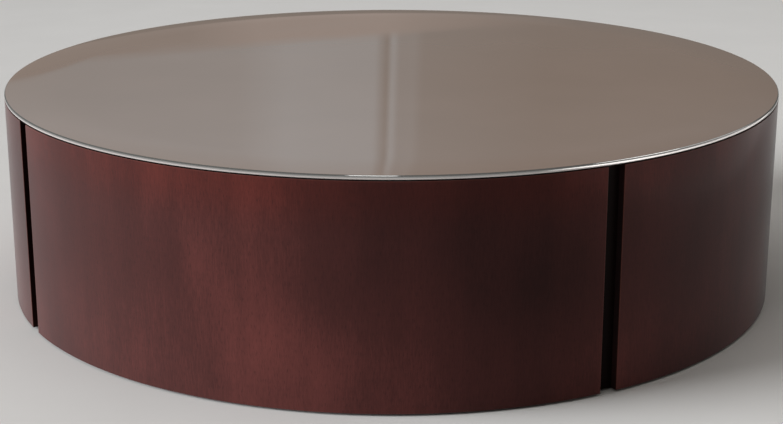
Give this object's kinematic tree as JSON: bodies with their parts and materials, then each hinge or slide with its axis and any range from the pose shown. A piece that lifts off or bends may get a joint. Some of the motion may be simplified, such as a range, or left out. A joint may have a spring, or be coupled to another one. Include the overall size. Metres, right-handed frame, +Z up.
{
  "type": "round cocktail table",
  "caption": "Low drum-shaped cocktail table with a back-lacquered glass top on dark veneered curved panels divided by recessed upright slots.",
  "frame": {"origin": "on the floor, under the middle of the drum", "axes": "+Z up along the drum's axis; a slot is centred on each of +X, +Y, -X and -Y"},
  "size_m": [1.1999, 1.2, 0.325],
  "materials": {
    "lacquered_glass": "clear float glass lacquered taupe on its underside",
    "mahogany_veneer": "dark stained mahogany veneer, satin lacquer, upright grain",
    "mahogany_lipping": "dark stained solid mahogany, satin lacquer",
    "ebonised_plywood": "bent plywood, stained near black, matt",
    "birch_plywood": "raw birch plywood",
    "stud_timber": "planed softwood",
    "zinc_steel": "bright zinc-plated steel",
    "black_nylon": "moulded black nylon",
    "silicone": "clear-grey silicone bumper"
  },
  "bodies": {
    "base": {"glass_bumpers": "silicone", "top_deck": "birch_plywood", "base_ring": "birch_plywood", "rib_lengthwise": "birch_plywood", "rib_crosswise": "birch_plywood", "tee_nuts": "zinc_steel", "deck_screws": "zinc_steel", "ring_screws": "zinc_steel", "deck_edge_screws": "zinc_steel", "ring_edge_screws": "zinc_steel", "seam_screws": "zinc_steel", "panel_screws": "zinc_steel", "face_veneer_1": "mahogany_veneer", "edge_lipping_1_start": "mahogany_lipping", "edge_lipping_1_end": "mahogany_lipping", "panel_core_1": "birch_plywood", "skin_quarter_1": "ebonised_plywood", "stud_1": "stud_timber", "face_veneer_2": "mahogany_veneer", "edge_lipping_2_start": "mahogany_lipping", "edge_lipping_2_end": "mahogany_lipping", "panel_core_2": "birch_plywood", "skin_quarter_2": "ebonised_plywood", "stud_2": "stud_timber", "face_veneer_3": "mahogany_veneer", "edge_lipping_3_start": "mahogany_lipping", "edge_lipping_3_end": "mahogany_lipping", "panel_core_3": "birch_plywood", "skin_quarter_3": "ebonised_plywood", "stud_3": "stud_timber", "face_veneer_4": "mahogany_veneer", "edge_lipping_4_start": "mahogany_lipping", "edge_lipping_4_end": "mahogany_lipping", "panel_core_4": "birch_plywood", "skin_quarter_4": "ebonised_plywood", "stud_4": "stud_timber"},
    "glass": {"glass_top": "lacquered_glass"},
    "leveller_pad_1": {"leveller_pad_1": "black_nylon"},
    "leveller_stem_1": {"leveller_stem_1": "zinc_steel"},
    "leveller_pad_2": {"leveller_pad_2": "black_nylon"},
    "leveller_stem_2": {"leveller_stem_2": "zinc_steel"},
    "leveller_pad_3": {"leveller_pad_3": "black_nylon"},
    "leveller_stem_3": {"leveller_stem_3": "zinc_steel"},
    "leveller_pad_4": {"leveller_pad_4": "black_nylon"},
    "leveller_stem_4": {"leveller_stem_4": "zinc_steel"}
  },
  "joints": [
    {"name": "glass_lift", "type": "slide", "parent": "base", "child": "glass", "axis": [0, 0, 1], "range_m": [0, 0.12]},
    {"name": "leveller_1_travel", "type": "slide", "parent": "base", "child": "leveller_pad_1", "axis": [0, 0, -1], "range_m": [0, 0.012]},
    {"name": "leveller_1_turn", "type": "hinge", "parent": "leveller_pad_1", "child": "leveller_stem_1", "pos_m": [0.35624, 0.35624, 0], "axis": [0, 0, -1], "range_deg": [0, 3456]},
    {"name": "leveller_2_travel", "type": "slide", "parent": "base", "child": "leveller_pad_2", "axis": [0, 0, -1], "range_m": [0, 0.012]},
    {"name": "leveller_2_turn", "type": "hinge", "parent": "leveller_pad_2", "child": "leveller_stem_2", "pos_m": [-0.35624, 0.35624, 0], "axis": [0, 0, -1], "range_deg": [0, 3456]},
    {"name": "leveller_3_travel", "type": "slide", "parent": "base", "child": "leveller_pad_3", "axis": [0, 0, -1], "range_m": [0, 0.012]},
    {"name": "leveller_3_turn", "type": "hinge", "parent": "leveller_pad_3", "child": "leveller_stem_3", "pos_m": [-0.35624, -0.35624, 0], "axis": [0, 0, -1], "range_deg": [0, 3456]},
    {"name": "leveller_4_travel", "type": "slide", "parent": "base", "child": "leveller_pad_4", "axis": [0, 0, -1], "range_m": [0, 0.012]},
    {"name": "leveller_4_turn", "type": "hinge", "parent": "leveller_pad_4", "child": "leveller_stem_4", "pos_m": [0.35624, -0.35624, 0], "axis": [0, 0, -1], "range_deg": [0, 3456]}
  ],
  "couplings": [
    {"joint": "leveller_1_turn", "follows": "leveller_1_travel", "rad_per_m": 5026.5},
    {"joint": "leveller_2_turn", "follows": "leveller_2_travel", "rad_per_m": 5026.5},
    {"joint": "leveller_3_turn", "follows": "leveller_3_travel", "rad_per_m": 5026.5},
    {"joint": "leveller_4_turn", "follows": "leveller_4_travel", "rad_per_m": 5026.5}
  ]
}
